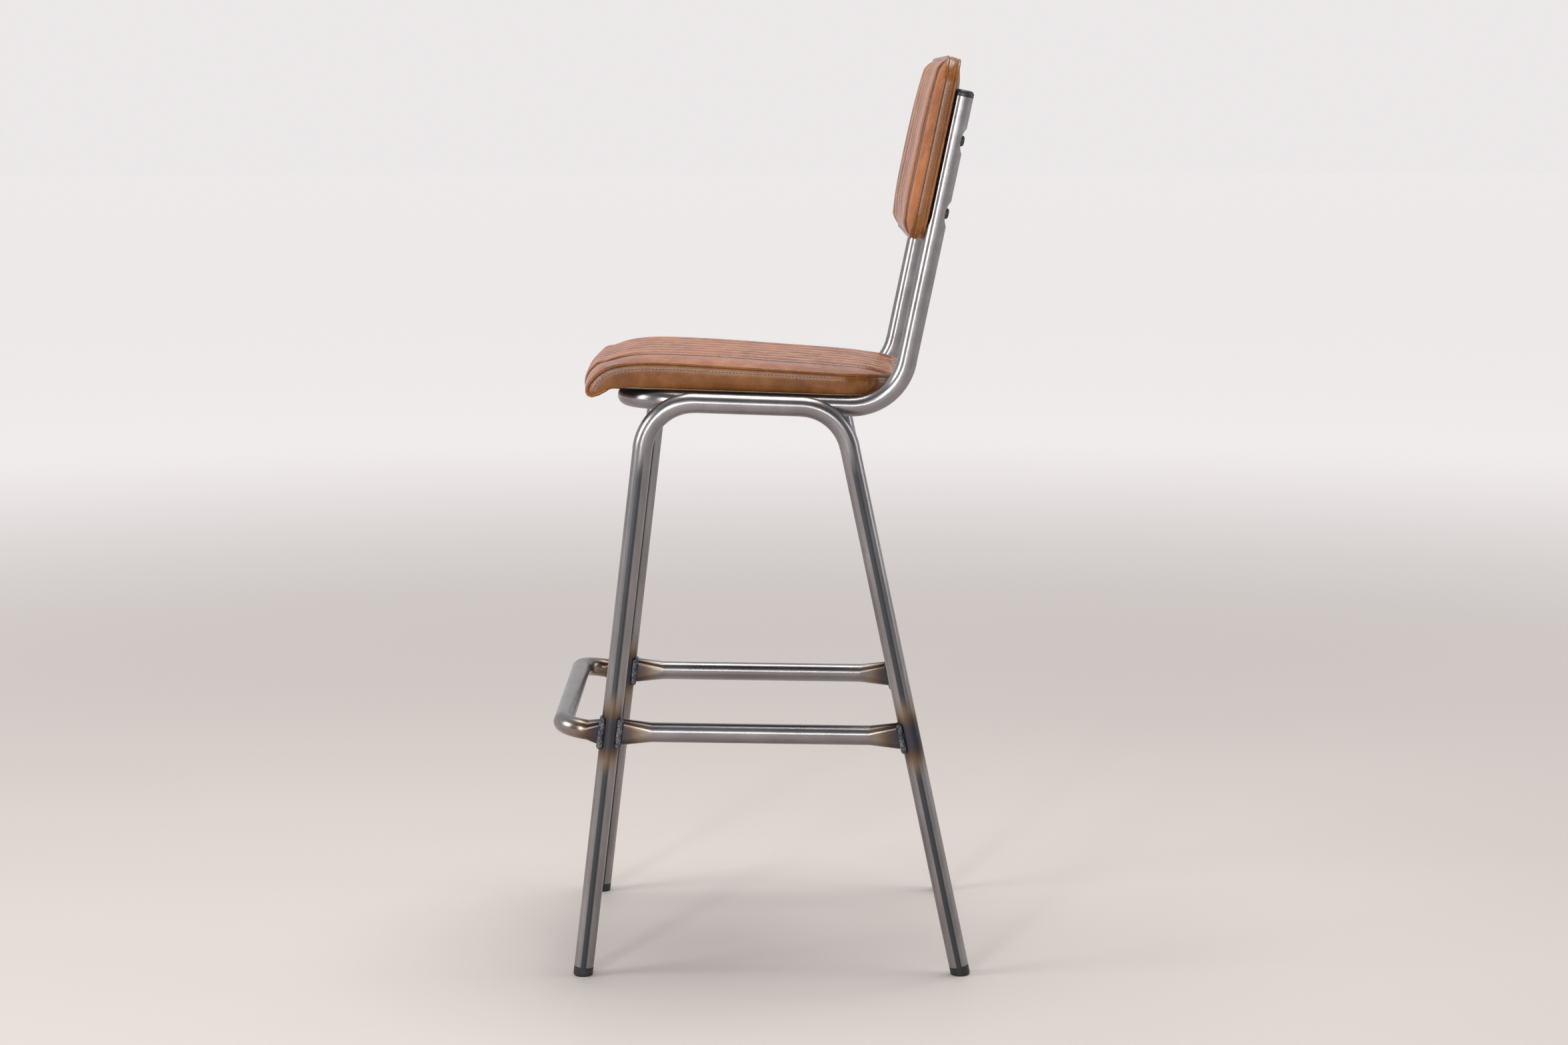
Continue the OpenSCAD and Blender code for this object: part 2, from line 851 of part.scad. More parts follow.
left_leg_frame();
right_leg_frame();
seat_back_frame();
seat_tabs();
footrest();
left_brace();
right_brace();
footrest_welds();
brace_welds();
seat_frame_welds();
front_left_glide();
front_right_glide();
rear_left_glide();
rear_right_glide();
left_post_cap();
right_post_cap();
seat_dust_cover();
seat_board();
seat_foam();
seat_top_cover();
seat_border();
seat_piping();
seat_bolts();
seat_t_nuts();
back_board();
back_foam();
back_front_cover();
back_border();
back_front_piping();
back_rear_piping();
back_rear_cover();
back_bolts();
back_t_nuts();
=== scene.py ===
# %% [markdown]
# # A bar stool with a footrest
# A bent-tube steel stool with leather pads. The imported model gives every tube, bolt and cap its
# place and size; this notebook dresses them: bare lacquered steel, ribbed and stitched leather,
# welts, threads, weld beads and moulded plastic, in a pale studio.

# %% Load the frame
import bpy
import bmesh
import math
from mathutils import Matrix, Vector


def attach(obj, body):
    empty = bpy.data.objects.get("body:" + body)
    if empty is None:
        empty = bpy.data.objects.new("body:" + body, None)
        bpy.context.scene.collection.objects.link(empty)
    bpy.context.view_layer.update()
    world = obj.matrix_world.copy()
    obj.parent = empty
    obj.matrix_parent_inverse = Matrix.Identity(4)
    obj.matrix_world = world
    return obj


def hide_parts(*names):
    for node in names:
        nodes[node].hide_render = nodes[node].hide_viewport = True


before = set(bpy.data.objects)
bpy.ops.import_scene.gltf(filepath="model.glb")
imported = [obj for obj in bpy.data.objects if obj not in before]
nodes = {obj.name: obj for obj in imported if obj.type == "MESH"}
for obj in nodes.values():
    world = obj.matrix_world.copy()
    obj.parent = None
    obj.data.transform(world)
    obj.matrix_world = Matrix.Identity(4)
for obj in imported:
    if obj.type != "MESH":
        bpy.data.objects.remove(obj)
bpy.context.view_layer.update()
MM = 0.001

# %% [markdown]
# ## Camera
# A long lens stands well back at the stool's right side and looks a little down, so the near and
# far leg frames almost line up. The camera is set first: every look is judged through it.

# %% Camera
def aimed(position, yaw, pitch, roll):
    """A camera matrix that looks along -X, turned by yaw, tipped down by pitch and rolled."""
    forward = Vector((-math.cos(yaw) * math.cos(pitch), math.sin(yaw) * math.cos(pitch), -math.sin(pitch)))
    right = Vector((math.sin(yaw), math.cos(yaw), 0))
    up = right.cross(forward)
    across = math.cos(roll) * right + math.sin(roll) * up
    upward = math.cos(roll) * up - math.sin(roll) * right
    turn = Matrix((across, upward, -forward)).transposed().to_4x4()
    return Matrix.Translation(position) @ turn

lens = bpy.data.cameras.new("camera")
lens.sensor_width = 36
lens.lens = 73.47
camera = bpy.data.objects.new("camera", lens)
bpy.context.scene.collection.objects.link(camera)
camera.matrix_world = aimed(
    Vector((4.209, 0.0191, 1.1208)), math.radians(0.135), math.radians(7.657), math.radians(-0.053)
)
bpy.context.scene.camera = camera
print("camera at", [round(v, 3) for v in camera.location])

# %% [markdown]
# ## Shader expressions
# A material is a little formula over the surface. Wrapping a socket in a class lets the formula be
# written as one, `a * b + 1`, and the class adds the Math nodes behind it.

# %% Shader expressions
class Value:
    """One output socket, with arithmetic."""

    def __init__(self, maker, socket):
        self.maker = maker
        self.socket = socket

    def math(self, operation, *others):
        return self.maker.make(
            "ShaderNodeMath", {"operation": operation}, dict(enumerate((self,) + others))
        )

    def __add__(self, other):
        return self.math("ADD", other)

    def __sub__(self, other):
        return self.math("SUBTRACT", other)

    def __rsub__(self, other):
        return (self * -1).math("ADD", other)

    def __mul__(self, other):
        return self.math("MULTIPLY", other)

    def __truediv__(self, other):
        return self.math("DIVIDE", other)

    def __pow__(self, other):
        return self.math("POWER", other)

    __radd__ = __add__
    __rmul__ = __mul__

    def low(self, other):
        return self.math("MINIMUM", other)

    def high(self, other):
        return self.math("MAXIMUM", other)

    def size(self):
        return self.math("ABSOLUTE")

    def step(self, start, end):
        """0 before start, 1 after end, smooth between; start may be the larger one."""
        return self.maker.make(
            "ShaderNodeMapRange", {"interpolation_type": "SMOOTHSTEP"},
            {"Value": self, "From Min": start, "From Max": end},
        )


class Maker:
    """Adds nodes to one material."""

    def __init__(self, name):
        self.material = bpy.data.materials.new(name)
        self.material.use_nodes = True
        self.tree = self.material.node_tree
        self.tree.nodes.clear()
        out = self.tree.nodes.new("ShaderNodeOutputMaterial")
        self.shader = self.tree.nodes.new("ShaderNodeBsdfPrincipled")
        self.tree.links.new(self.shader.outputs[0], out.inputs["Surface"])

    def put(self, node, sockets):
        for key, value in sockets.items():
            socket = node.inputs[key]
            if isinstance(value, Value):
                self.tree.links.new(value.socket, socket)
            else:
                socket.default_value = value

    def make(self, kind, settings=None, sockets=None, out=0):
        node = self.tree.nodes.new(kind)
        for key, value in (settings or {}).items():
            setattr(node, key, value)
        self.put(node, sockets or {})
        return Value(self, node.outputs[out])

    def place(self):
        return self.make("ShaderNodeTexCoord", out="Object")

    def axes(self, vector):
        parts = self.make("ShaderNodeSeparateXYZ", sockets={"Vector": vector})
        node = parts.socket.node
        return [Value(self, node.outputs[k]) for k in range(3)]

    def stretch(self, vector, scale):
        return self.make("ShaderNodeMapping", sockets={"Vector": vector, "Scale": scale})

    def noise(self, vector, scale, detail=3, roughness=0.5, distortion=0):
        return self.make("ShaderNodeTexNoise", sockets={
            "Vector": vector, "Scale": scale, "Detail": detail, "Roughness": roughness,
            "Distortion": distortion,
        })

    def cells(self, vector, scale, feature="F1"):
        return self.make("ShaderNodeTexVoronoi", {"feature": feature}, {"Vector": vector, "Scale": scale})

    def mix(self, share, first, second):
        """Colours: first where share is 0, second where it is 1."""
        def colour(c):
            return c if isinstance(c, Value) else (*c, 1)
        node = self.tree.nodes.new("ShaderNodeMix")
        node.data_type = "RGBA"
        node.clamp_factor = True
        self.put(node, {0: share, 6: colour(first), 7: colour(second)})
        return Value(self, node.outputs[2])

    def bump(self, height, depth, strength=1.0):
        return self.make("ShaderNodeBump", sockets={"Height": height, "Distance": depth, "Strength": strength})

    def finish(self, **sockets):
        self.put(self.shader, {key.replace("_", " "): value for key, value in sockets.items()})
        return self.material


def dress(piece, material):
    """Gives every face of a piece or CAD node one material."""
    piece.data.materials.clear()
    piece.data.materials.append(material)
    for face in piece.data.polygons:
        face.material_index = 0

# %% [markdown]
# ## Sizes shared with the frame
# These repeat the stool's own sizes in millimetres: where the rails, posts and legs run. A point on
# the seat is given along the rails and square to them; one on the back, across, up the posts and
# out from their line.

# %% Sizes shared with the frame
SHIFT = 19.23        # from the middle of the rails' depth to the middle of the stool's
RAIL_H, TILT = 732.0, math.radians(2)
POST_LEAN = math.radians(11.8)
POST_FOOT = (152 * math.cos(TILT), RAIL_H - 152 * math.sin(TILT))

def on_rails(x, v, w):
    """Seat sizes in millimetres to a point of the stool in metres."""
    y = v * math.cos(TILT) + w * math.sin(TILT) + SHIFT
    z = RAIL_H - v * math.sin(TILT) + w * math.cos(TILT)
    return Vector((x, y, z)) * MM

def on_posts(x, up, out):
    """Back sizes in millimetres: up the posts, and out in front of them."""
    y = POST_FOOT[0] + up * math.sin(POST_LEAN) - out * math.cos(POST_LEAN) + SHIFT
    z = POST_FOOT[1] + up * math.cos(POST_LEAN) + out * math.sin(POST_LEAN)
    return Vector((x, y, z)) * MM

def blend_through(points, at):
    """A smooth curve through (place, value) pairs."""
    if at <= points[0][0]:
        return points[0][1]
    for k in range(len(points) - 1):
        (a, va), (b, vb) = points[k], points[k + 1]
        if at <= b:
            before = points[max(k - 1, 0)]
            after = points[min(k + 2, len(points) - 1)]
            ma = (vb - before[1]) / max(b - before[0], 1e-9) * (b - a)
            mb = (after[1] - va) / max(after[0] - a, 1e-9) * (b - a)
            t = (at - a) / (b - a)
            return ((2 * t**3 - 3 * t**2 + 1) * va + (t**3 - 2 * t**2 + t) * ma
                    + (3 * t**2 - 2 * t**3) * vb + (t**3 - t**2) * mb)
    return points[-1][1]

def link(name, mesh):
    """A finished piece at the origin that rides with the stool."""
    piece = bpy.data.objects.new(name, mesh)
    bpy.context.scene.collection.objects.link(piece)
    for face in mesh.polygons:
        face.use_smooth = True
    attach(piece, "root")
    return piece

def from_bmesh(name, bm):
    bmesh.ops.recalc_face_normals(bm, faces=bm.faces)
    mesh = bpy.data.meshes.new(name)
    bm.to_mesh(mesh)
    bm.free()
    piece = link(name, mesh)
    print(name, len(mesh.polygons), "faces")
    return piece

print("post foot", [round(v, 1) for v in POST_FOOT])

# %% [markdown]
# ## The seat pad's outline
# From the side the leather runs from the rear seam over the top, bends down over the nose and
# rolls under the board's front edge. The edge line carries the welt. Above it the foam crowns:
# steeply near the edge, nearly level in the middle.

# %% The seat pad's outline
SEAT_HALF, REAR, REAR_R = 200.0, 159.0, 90.0
LEATHER_LOW = 15.0
EDGE = [(0, 159, 36.5), (0.1, 120, 38.5), (0.25, 60, 41), (0.42, 0, 42.8), (0.58, -60, 44.3),
        (0.72, -120, 46), (0.82, -165, 46), (0.865, -192, 43.5), (0.905, -212, 38),
        (0.932, -225, 30), (0.953, -235, 19.5), (0.968, -239, 10.5), (0.98, -237, 4), (0.99, -229, 3),
        (1, -214, 11)]
CROWN = [(0, 7.5), (0.1, 9.5), (0.25, 10.5), (0.42, 11), (0.58, 12), (0.72, 11.5), (0.82, 11),
         (0.88, 9.5), (0.93, 8), (0.955, 6), (0.97, 4.5), (0.98, 3.5), (0.99, 3), (1, 2)]
SEAT_COLS, SEAT_ROWS = 280, 200

def edge_point(t):
    return (blend_through([(e[0], e[1]) for e in EDGE], t), blend_through([(e[0], e[2]) for e in EDGE], t))

def edge_out(t):
    """The direction square to the edge line, away from the foam, in the side view."""
    a, b = edge_point(max(t - 0.01, 0)), edge_point(min(t + 0.01, 1))
    along = Vector((b[0] - a[0], b[1] - a[1])).normalized()
    return Vector((-along.y, along.x)) * -1

def half_width(v):
    past = v - (REAR - REAR_R)
    if past <= 0:
        return SEAT_HALF
    return SEAT_HALF - REAR_R + math.sqrt(max(REAR_R**2 - past**2, 0))

def from_edge(x, v):
    """How far inside the pad's outline a point lies."""
    dx, dv = abs(x) - (SEAT_HALF - REAR_R), v - (REAR - REAR_R)
    if dx > 0 and dv > 0:
        return REAR_R - math.hypot(dx, dv)
    return min(SEAT_HALF - abs(x), REAR - v) if v > -120 else SEAT_HALF - abs(x)

def swell(inside, reach=62.0, power=2.3):
    share = min(max(inside / reach, 0), 1)
    return 1 - (1 - share) ** power

# Channels run front to back: seven ribs between two wide outer panels.
RIB_PITCH = 38.0
RIB_END = 14.0       # ribs and channels fade out over this distance from the edge
SEAT_GROOVES = [-133 + RIB_PITCH * k for k in range(8)]

def groove(x, places, depth, width):
    cut = 0.0
    for place in places:
        away = abs(x - place)
        if away < width * 3:
            cut = max(cut, depth * math.exp(-(away / width) ** 2))
    return cut

def rib(x, places, height):
    """The gentle roundness of the leather between two channels."""
    for a, b in zip(places, places[1:]):
        if a < x < b:
            return height * math.sin(math.pi * (x - a) / (b - a)) ** 0.65
    return 0.0

def row_place(j):
    """Rows lie closer together over the rear corners."""
    rows, reach = 0.22, 0.16        # this share of the rows covers this share of the line
    share = j / SEAT_ROWS
    if share < rows:
        return reach * (1 - math.cos(share / rows * math.pi / 2))
    return reach + (share - rows) / (1 - rows) * (1 - reach)

def seat_point(u, t, ribbed=True):
    """u runs -1 to 1 across, t from the rear seam to the end of the lip."""
    v, w = edge_point(t)
    x = u * half_width(v)
    out = edge_out(t)
    fade = min(1.0, (1 - t) / 0.05)
    inside = from_edge(x, v)
    rise = blend_through(CROWN, t) * swell(inside)
    if ribbed:
        ends = min(1.0, inside / RIB_END)
        rise += (rib(x, SEAT_GROOVES, 3.8) - groove(x, SEAT_GROOVES, 2.4, 2.0)) * ends * fade
    return x, v + out.x * rise, w + out.y * rise

print("nose", edge_point(0.94), "out", [round(c, 2) for c in edge_out(0.5)], half_width(150))

# %% [markdown]
# ## Blowing up a cover
# Foam presses leather outwards until its seams hold it. A coarse copy of a cover is sewn down at
# its edge and run as cloth over a little air pressure, without gravity. The distance each point
# moves is capped, then read back smoothly onto the fine cover, which keeps its ribs sharp.

# %% Blowing up a cover
def swollen(point, cols, rows, place, pressure, cap):
    """Runs a coarse copy of a cover as cloth over air, sewn down at its edge. Returns how far each
    of its points moved, in metres, and a reader for any place between them."""
    bm = bmesh.new()
    bmesh.ops.create_grid(bm, x_segments=cols, y_segments=rows, size=1)
    spots = [(round((v.co.x + 1) / 2 * cols), round((v.co.y + 1) / 2 * rows)) for v in bm.verts]
    for vert, (i, j) in zip(bm.verts, spots):
        vert.co = place(*point(i / cols * 2 - 1, j / rows, False))
    bmesh.ops.recalc_face_normals(bm, faces=bm.faces)
    mesh = bpy.data.meshes.new("swelling")
    bm.to_mesh(mesh)
    bm.free()
    before = [v.co.copy() for v in mesh.vertices]
    moved = {spot: Vector() for spot in spots}
    piece = bpy.data.objects.new("swelling", mesh)
    scene = bpy.context.scene
    scene.collection.objects.link(piece)
    sewn = piece.vertex_groups.new(name="sewn")
    sewn.add([k for k, (i, j) in enumerate(spots) if i in (0, cols) or j in (0, rows)], 1, "REPLACE")
    cloth = piece.modifiers.new("cloth", "CLOTH")
    cloth.settings.quality = 6
    cloth.settings.mass = 0.4
    cloth.settings.tension_stiffness = 40
    cloth.settings.compression_stiffness = 40
    cloth.settings.bending_stiffness = 2
    cloth.settings.vertex_group_mass = "sewn"
    cloth.settings.use_pressure = True
    cloth.settings.uniform_pressure_force = pressure
    cloth.settings.effector_weights.gravity = 0
    cloth.point_cache.frame_start, cloth.point_cache.frame_end = 1, 20
    for step in range(1, 21):
        scene.frame_set(step)
    shaped = piece.evaluated_get(bpy.context.evaluated_depsgraph_get()).data
    for vert, start, spot in zip(shaped.vertices, before, spots):
        move = vert.co - start
        moved[spot] = move * min(1, cap * MM / max(move.length, 1e-9))
    bpy.data.objects.remove(piece)
    scene.frame_set(1)
    bpy.data.meshes.remove(mesh)
    print("moved at most", round(max(m.length for m in moved.values()) / MM, 2), "mm")

    def read(u, share):
        x, y = (u + 1) / 2 * cols, share * rows
        i, j = min(int(x), cols - 1), min(int(y), rows - 1)
        fx, fy = x - i, y - j
        low = moved[i, j].lerp(moved[i + 1, j], fx)
        high = moved[i, j + 1].lerp(moved[i + 1, j + 1], fx)
        return low.lerp(high, fy)
    return read

# %% [markdown]
# ## The seat's top cover
# A flat grid takes the shape of the outline: each row is one step along the edge line, each column
# one strip across. Crown, ribs and channels then lift or sink its points, and the cloth's swelling
# is added to them.

# %% The seat's top cover
seat_swell = swollen(
    lambda u, share, ribbed: seat_point(u, min(row_place(share * SEAT_ROWS), 1), ribbed),
    52, 60, on_rails, 4.0, 5.0,
)

def seat_top():
    bm = bmesh.new()
    bmesh.ops.create_grid(bm, x_segments=SEAT_COLS, y_segments=SEAT_ROWS, size=1)
    for vert in bm.verts:
        u, row = vert.co.x, round((vert.co.y + 1) / 2 * SEAT_ROWS)
        vert.co = on_rails(*seat_point(u, min(row_place(row), 1))) + seat_swell(u, row / SEAT_ROWS)
    return bm

cover = from_bmesh("seat_leather_top", seat_top())
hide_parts("seat_top_cover", "seat_foam")

# %% [markdown]
# ## The seat's border
# A strip of leather is sewn round the sides and the rear, from the welt down to the board. It
# stands a little outwards between the two because the foam presses on it.

# %% The seat's border
def outline(steps=150):
    """Points of the edge with the point below each and the way out of the pad there."""
    path = []
    for side in (1, -1):
        leg = []
        for k in range(steps + 1):
            t = 1 - k / steps
            v, w = edge_point(t)
            low_v = v if t < 0.82 else -165 - (t - 0.82) / 0.18 * 47
            low_w = LEATHER_LOW if t < 0.9 else LEATHER_LOW - (t - 0.9) / 0.1 * 3
            past = v - (REAR - REAR_R)
            angle = math.asin(min(max(past / REAR_R, 0), 1))
            x = half_width(v)
            leg.append((Vector((side * x, v, w)), Vector((side * x, low_v, low_w)),
                        Vector((side * math.cos(angle), math.sin(angle), 0))))
        path.append(leg)
    rear = []
    span = SEAT_HALF - REAR_R
    for k in range(1, 40):
        x = span * (1 - k / 20)
        rear.append((Vector((x, REAR, EDGE[0][2])), Vector((x, REAR, LEATHER_LOW)), Vector((0, 1, 0))))
    return path[0] + rear + path[1][::-1]

seat_line = outline()

def border_point(place, share, grow=0.0):
    """share runs from 0 at the welt to 1 at the bottom."""
    top, low, out = seat_line[place]
    at = top.lerp(low, share)
    return at + out * (2.2 * math.sin(math.pi * share) ** 0.8 - 1.2 * share**3 + grow)

def seat_side():
    rows = len(seat_line) - 1
    bm = bmesh.new()
    bmesh.ops.create_grid(bm, x_segments=12, y_segments=rows, size=1)
    for vert in bm.verts:
        place = round((vert.co.y + 1) / 2 * rows)
        vert.co = on_rails(*border_point(place, (vert.co.x + 1) / 2))
    bmesh.ops.recalc_face_normals(bm, faces=bm.faces)
    return bm

side = from_bmesh("seat_leather_border", seat_side())
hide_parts("seat_border")
thick = side.modifiers.new("leather", "SOLIDIFY")
thick.thickness = 1.2 * MM
thick.offset = -1

# %% [markdown]
# ## Welts and threads
# A welt is a strip of leather folded round a cord. It is a tube along the seam. Threads are drawn
# as single stitches, each a small stretched ball, so they catch the light as real ones do.

# %% Welts and threads
def tube(name, points, radius, closed=False):
    curve = bpy.data.curves.new(name, "CURVE")
    curve.dimensions = "3D"
    curve.bevel_depth = radius * MM
    curve.bevel_resolution = 3
    curve.use_fill_caps = True
    line = curve.splines.new("POLY")
    line.points.add(len(points) - 1)
    for point, place in zip(line.points, points):
        point.co = (*place, 1)
    line.use_cyclic_u = closed
    drawn = bpy.data.objects.new(name, curve)
    mesh = bpy.data.meshes.new_from_object(drawn)
    mesh.name = name
    bpy.data.objects.remove(drawn)
    piece = link(name, mesh)
    print(name, len(mesh.polygons), "faces")
    return piece

def stitches(name, path, outward, pitch=4.4, length=3.1, radius=0.42):
    """One thread per pitch along a path of points in metres, each lying on the leather."""
    bm = bmesh.new()
    travelled, wanted = 0.0, pitch * MM / 2
    for a, b, out in zip(path, path[1:], outward):
        step = (b - a).length
        while step > 1e-9 and travelled + step >= wanted:
            centre = a.lerp(b, (wanted - travelled) / step)
            along = (b - a).normalized()
            across = out.cross(along).normalized()
            turn = Matrix((along, across, out)).transposed().to_4x4()
            scale = Matrix.Diagonal((length / 2 * MM, radius * MM, radius * 0.8 * MM, 1))
            at = Matrix.Translation(centre) @ turn @ scale
            bmesh.ops.create_icosphere(bm, subdivisions=2, radius=1, matrix=at)
            wanted += pitch * MM
        travelled += step
    return from_bmesh(name, bm)

def turned(out):
    """A direction of the seat's frame in the stool's."""
    return (on_rails(*out) - on_rails(0, 0, 0)).normalized()

welt_path = [on_rails(*(top + out * 0.6 + Vector((0, 0, 0.2)))) for top, low, out in seat_line]
seat_welt = tube("seat_welt", welt_path, 2.1)
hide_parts("seat_piping")
stitch_share = 0.23
border_run = [on_rails(*border_point(k, stitch_share, 0.1)) for k in range(len(seat_line))]
ways = [turned(out) for top, low, out in seat_line]
seat_thread = stitches("seat_border_thread", border_run, ways)

# The border's joining seams stand upright at the two rear corners.
def corner_seam(side_sign):
    corner = Vector((side_sign * 190, 113, 40))
    return min(range(len(seat_line)), key=lambda k: (seat_line[k][0] - corner).length)

for sign, word in ((1, "right"), (-1, "left")):
    place = corner_seam(sign)
    run = [on_rails(*border_point(place, 0.16 + 0.8 * k / 8, 0.15)) for k in range(9)]
    stitches(f"seat_{word}_seam_thread", run, [ways[place]] * 9, 3.4, 2.2, 0.4)

# %% [markdown]
# ## The back pad
# The back's front cover is ribbed upright. Its crown is deepest a little below the middle. All four
# corners of the pad are round.

# %% The back pad
BACK_HALF, BACK_LOW, BACK_TOP, BACK_R = 205.0, 212.8, 441.0, 34.0
SEAM_OUT, REAR_OUT = 28.0, 13.2
BACK_COLS, BACK_ROWS = 250, 110
BACK_MID = (BACK_LOW + BACK_TOP) / 2
BACK_GROOVES = [-182 + 36.4 * k for k in range(11)]
HOLLOW = 10.0        # how far the curved board stands back in the middle
BACK_CROWN = [(0, 11), (0.25, 14), (0.5, 14), (0.75, 13), (1, 10)]

def back_half_width(up):
    past = abs(up - BACK_MID) - ((BACK_TOP - BACK_LOW) / 2 - BACK_R)
    return BACK_HALF if past <= 0 else BACK_HALF - BACK_R + math.sqrt(max(BACK_R**2 - past**2, 0))

def inside_back(x, up):
    dx = abs(x) - (BACK_HALF - BACK_R)
    du = abs(up - BACK_MID) - ((BACK_TOP - BACK_LOW) / 2 - BACK_R)
    if dx > 0 and du > 0:
        return BACK_R - math.hypot(dx, du)
    return min(BACK_HALF - abs(x), (BACK_TOP - BACK_LOW) / 2 - abs(up - BACK_MID))

def back_row(share):
    """Heights from the bottom to the top, closer together over the corners."""
    place = share * 2 - 1
    even = 0.33 * place + 0.67 * math.sin(place * math.pi / 2)
    return BACK_MID + even * (BACK_TOP - BACK_LOW) / 2

def back_front_point(u, share, ribbed=True):
    up = back_row(share)
    x = u * back_half_width(up)
    inside = inside_back(x, up)
    rise = blend_through(BACK_CROWN, share) * swell(inside, 20, 2.4)
    rise *= 0.55 + 0.45 * swell(BACK_HALF - abs(x), 50, 2)
    rise -= HOLLOW * (1 - (x / BACK_HALF) ** 2) * swell(inside, 30, 2)
    if ribbed:
        ends = min(1.0, inside / RIB_END)
        rise += (rib(x, BACK_GROOVES, 3.6) - groove(x, BACK_GROOVES, 2.0, 1.9)) * ends
    return x, up, SEAM_OUT + rise

REAR_INSET = 0.3     # the pad's rear edge is rounded off by this much

def back_rear_point(u, share, ribbed=True):
    up = back_row(share)
    inside = inside_back(u * back_half_width(up), up)
    shrink = 1 - REAR_INSET / BACK_HALF
    x = u * back_half_width(up) * shrink
    up = BACK_MID + (up - BACK_MID) * (1 - 2 * REAR_INSET / (BACK_TOP - BACK_LOW))
    between = min(max((172 - abs(x)) / 24, 0), 1)
    bulge = 8.5 * swell(inside, 40, 2) * between * between * (3 - 2 * between)
    return x, up, REAR_OUT - bulge

def back_sheet(point, cols, rows, moved=None):
    bm = bmesh.new()
    bmesh.ops.create_grid(bm, x_segments=cols, y_segments=rows, size=1)
    for vert in bm.verts:
        u, share = vert.co.x, (vert.co.y + 1) / 2
        vert.co = on_posts(*point(u, share)) + (moved(u, share) if moved else Vector())
    return bm

back_swell = swollen(back_front_point, 52, 34, on_posts, 4.0, 4.0)
back_cover = from_bmesh(
    "back_leather_front", back_sheet(back_front_point, BACK_COLS, BACK_ROWS, back_swell)
)
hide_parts("back_front_cover", "back_foam")
back_rear = from_bmesh("back_leather_rear", back_sheet(back_rear_point, 90, 60))
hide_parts("back_rear_cover")

# %% The back's border and welts
def back_line(steps=24):
    """The back pad's outline and the way out of it, once round."""
    line = []
    half_h = (BACK_TOP - BACK_LOW) / 2 - BACK_R
    half_w = BACK_HALF - BACK_R
    for quarter, (sx, sy) in enumerate(((1, 1), (-1, 1), (-1, -1), (1, -1))):
        for k in range(steps):
            angle = math.radians(90 * quarter + 90 * k / (steps - 1))
            out = Vector((math.cos(angle), math.sin(angle), 0))
            line.append((Vector((sx * half_w, BACK_MID + sy * half_h, 0)) + out * BACK_R, out))
    full = []
    for k, (point, out) in enumerate(line):
        after, out_after = line[(k + 1) % len(line)]
        parts = max(1, round((after - point).length / 6))
        for m in range(parts):
            full.append((point.lerp(after, m / parts), out.lerp(out_after, m / parts).normalized()))
    return full

back_edge = back_line()

def band_out(share):
    """How far the border stands out from the front edge's line: 0 is its rear edge, 1 its front."""
    return 1.8 * math.sin(math.pi * share) ** 0.8 - REAR_INSET * (1 - share) ** 2

def back_band():
    count = len(back_edge)
    bm = bmesh.new()
    bmesh.ops.create_grid(bm, x_segments=8, y_segments=count, size=1)
    for vert in bm.verts:
        point, out = back_edge[round((vert.co.y + 1) / 2 * count) % count]
        share = (vert.co.x + 1) / 2
        at = point + out * band_out(share)
        vert.co = on_posts(at.x, at.y, REAR_OUT + share * (SEAM_OUT - REAR_OUT))
    bmesh.ops.remove_doubles(bm, verts=bm.verts, dist=1e-6)
    return bm

band = from_bmesh("back_leather_border", back_band())
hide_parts("back_border")

def back_loop(out_by, level):
    return [on_posts(p.x + o.x * out_by, p.y + o.y * out_by, level) for p, o in back_edge]

front_welt = tube("back_front_welt", back_loop(0.3, SEAM_OUT - 0.4), 2.2, closed=True)
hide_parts("back_front_piping")
rear_welt = tube("back_rear_welt", back_loop(-REAR_INSET, REAR_OUT - 0.1), 1.6, closed=True)
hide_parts("back_rear_piping")

def flat_out(out):
    return (on_posts(out.x, out.y, 0) - on_posts(0, 0, 0)).normalized()

band_ways = [flat_out(out) for point, out in back_edge]
for share, word in ((0.66, "front"), (0.3, "rear")):
    level = REAR_OUT + share * (SEAM_OUT - REAR_OUT)
    run = back_loop(band_out(share) + 0.15, level)
    stitches(f"back_{word}_thread", run + run[:1], band_ways, 3.6, 2.7, 0.36)

# %% [markdown]
# ## Bare steel
# The tubes are raw steel under clear lacquer. Mill haze runs along them, each leg shows the dark
# line of its long weld, and near the joints the heat has tinted the steel gold, brown and blue.

